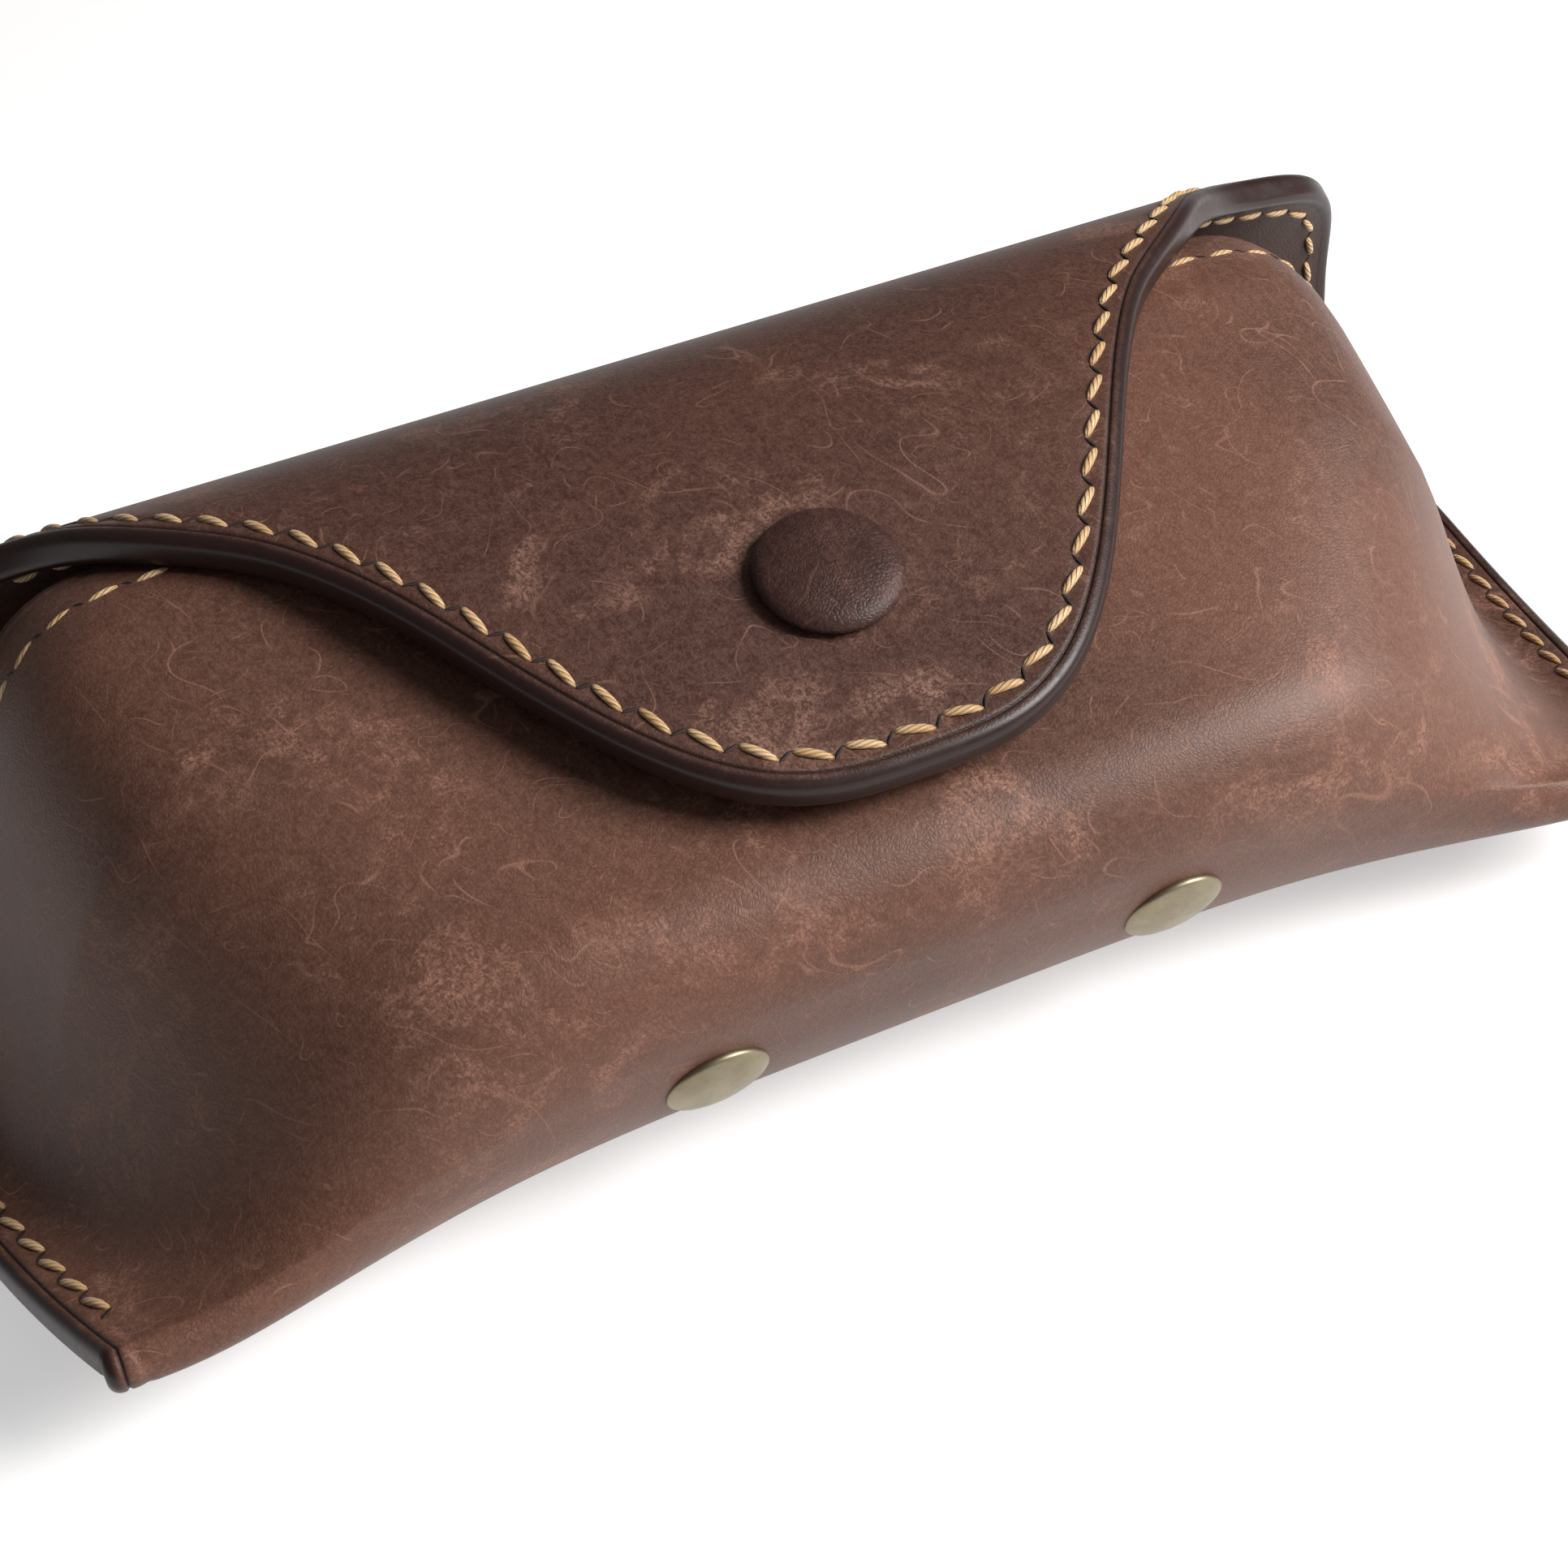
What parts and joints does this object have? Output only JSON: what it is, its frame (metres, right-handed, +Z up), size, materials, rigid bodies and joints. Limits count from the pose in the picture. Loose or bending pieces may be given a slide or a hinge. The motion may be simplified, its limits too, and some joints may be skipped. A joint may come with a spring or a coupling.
{
  "type": "glasses case",
  "caption": "Leather glasses case: a moulded, stitched pocket with a fold-over tongue flap closed by a covered press snap.",
  "frame": {"origin": "on the resting plane, under the middle of the case's outline (bottom centre of its bounding box)", "axes": "+X along the case's length to the viewer's right, +Y from the bottom edge towards the fold, +Z up from the back that it rests on, towards the flap and button"},
  "size_m": [0.17, 0.0734, 0.0495],
  "materials": {
    "outer_leather": "waxed, matte",
    "lining_leather": "matte",
    "cover_leather": "satin",
    "waxed_thread": "waxed",
    "antique_brass": "antique, satin",
    "spring_wire": "satin"
  },
  "bodies": {
    "case": {"back_panel": "outer_leather", "back_lining": "lining_leather", "front_panel": "outer_leather", "mouth_facing": "lining_leather", "bottom_strip": "lining_leather", "side_thread_left": "waxed_thread", "side_thread_right": "waxed_thread", "mouth_thread": "waxed_thread", "snap_stud": "antique_brass", "snap_eyelet": "antique_brass", "rivet_caps": "antique_brass", "rivet_bases": "antique_brass"},
    "fold": {"fold_band": "outer_leather", "fold_lining": "lining_leather", "fold_thread_left": "waxed_thread", "fold_thread_right": "waxed_thread"},
    "flap": {"flap": "outer_leather", "flap_lining": "lining_leather", "flap_thread": "waxed_thread", "snap_cover": "cover_leather", "snap_cap": "antique_brass", "snap_socket": "antique_brass", "snap_spring": "spring_wire"}
  },
  "joints": [
    {"name": "fold_hinge", "type": "hinge", "parent": "case", "child": "fold", "pos_m": [0, 0.03087, 0.00326], "axis": [-1, 0, 0], "range_deg": [0, 56]},
    {"name": "flap_hinge", "type": "hinge", "parent": "fold", "child": "flap", "pos_m": [0, 0.01997, 0.04752], "axis": [-1, 0, 0], "range_deg": [0, 90]}
  ],
  "couplings": [
    {"joint": "flap_hinge", "follows": "fold_hinge", "ratio": 1.6}
  ]
}
